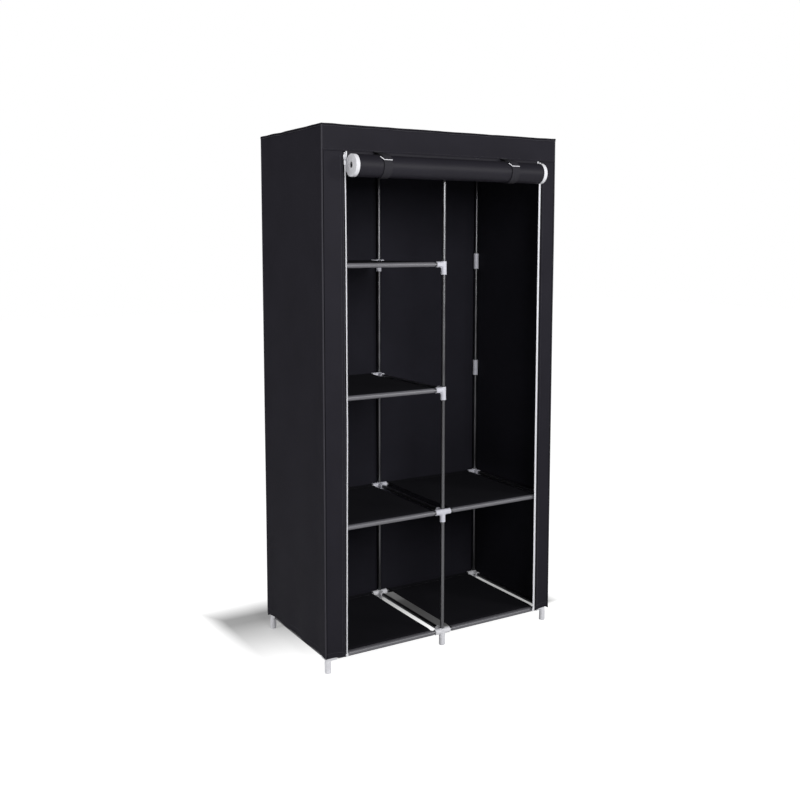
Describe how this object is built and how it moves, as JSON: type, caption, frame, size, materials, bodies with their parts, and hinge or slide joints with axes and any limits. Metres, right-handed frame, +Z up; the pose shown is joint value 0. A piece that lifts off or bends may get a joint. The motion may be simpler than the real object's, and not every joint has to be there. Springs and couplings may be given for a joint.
{
  "type": "portable fabric wardrobe",
  "caption": "Tall rectangular fabric wardrobe on a tube frame, with cloth shelves, a hanging space and a zipped front door rolled up under the header.",
  "frame": {"origin": "on the floor under the middle of the whole object, the rolled door included", "axes": "+X to the right seen from the front, +Y from the open front to the back, +Z up"},
  "size_m": [0.88, 0.5202, 1.68],
  "materials": {
    "steel_tube": "gloss black powder coat",
    "white_connector": "white moulded plastic, slightly glossy",
    "cover_cloth": "dark grey non-woven cloth",
    "shelf_cloth": "dark grey non-woven cloth with sewn hems",
    "strap_cloth": "dark cloth strap with hook-and-loop ends",
    "zip_plastic": "white nylon coil zip and white slider"
  },
  "bodies": {
    "wardrobe": {"column_front_left": "steel_tube", "column_front_middle": "steel_tube", "column_front_right": "steel_tube", "sleeve_front_right_3": "white_connector", "sleeve_front_right_4": "white_connector", "column_back_left": "steel_tube", "column_back_middle": "steel_tube", "column_back_right": "steel_tube", "sleeve_back_right_3": "white_connector", "sleeve_back_right_4": "white_connector", "depth_bar_left_1": "white_connector", "depth_bar_middle_1": "white_connector", "depth_bar_right_1": "white_connector", "depth_bar_left_2": "white_connector", "depth_bar_middle_2": "white_connector", "depth_bar_right_2": "white_connector", "depth_bar_left_3": "white_connector", "depth_bar_middle_3": "white_connector", "depth_bar_left_4": "white_connector", "depth_bar_middle_4": "white_connector", "depth_bar_left_top": "white_connector", "depth_bar_middle_top": "white_connector", "depth_bar_right_top": "white_connector", "rail_front_left_1": "steel_tube", "rail_front_right_1": "steel_tube", "rail_back_left_1": "steel_tube", "rail_back_right_1": "steel_tube", "rail_front_left_2": "steel_tube", "rail_front_right_2": "steel_tube", "rail_back_left_2": "steel_tube", "rail_back_right_2": "steel_tube", "rail_front_left_3": "steel_tube", "rail_back_left_3": "steel_tube", "rail_front_left_4": "steel_tube", "rail_back_left_4": "steel_tube", "rail_front_left_top": "steel_tube", "rail_front_right_top": "steel_tube", "rail_back_left_top": "steel_tube", "rail_back_right_top": "steel_tube", "hanging_rail": "steel_tube", "shelf_left_1": "shelf_cloth", "shelf_left_2": "shelf_cloth", "shelf_left_3": "shelf_cloth", "shelf_left_4": "shelf_cloth", "shelf_right_1": "shelf_cloth", "shelf_right_2": "shelf_cloth", "cover_left": "cover_cloth", "cover_right": "cover_cloth", "cover_back": "cover_cloth", "cover_front": "cover_cloth", "cover_top": "cover_cloth", "tie_left": "strap_cloth", "tie_right": "strap_cloth", "zip_chain_left": "zip_plastic", "zip_chain_right": "zip_plastic"},
    "door": {"door_roll": "cover_cloth"},
    "slider_left": {"zip_slider_left": "zip_plastic"},
    "pull_left": {"zip_pull_left": "zip_plastic"},
    "slider_right": {"zip_slider_right": "zip_plastic"},
    "pull_right": {"zip_pull_right": "zip_plastic"}
  },
  "joints": [
    {"name": "door_drop", "type": "slide", "parent": "wardrobe", "child": "door", "axis": [0, 0, -1], "range_m": [0, 1.47], "deforming": ["tie_left", "tie_right"]},
    {"name": "zip_slide_left", "type": "slide", "parent": "wardrobe", "child": "slider_left", "axis": [0, 0, -1], "range_m": [0, 1.52]},
    {"name": "zip_slide_right", "type": "slide", "parent": "wardrobe", "child": "slider_right", "axis": [0, 0, -1], "range_m": [0, 1.52]},
    {"name": "zip_pull_left_swing", "type": "hinge", "parent": "slider_left", "child": "pull_left", "pos_m": [-0.3647, -0.19349, 1.5819], "axis": [-1, 0, 0], "range_deg": [0, 160]},
    {"name": "zip_pull_right_swing", "type": "hinge", "parent": "slider_right", "child": "pull_right", "pos_m": [0.3727, -0.19349, 1.5819], "axis": [-1, 0, 0], "range_deg": [0, 160]}
  ]
}
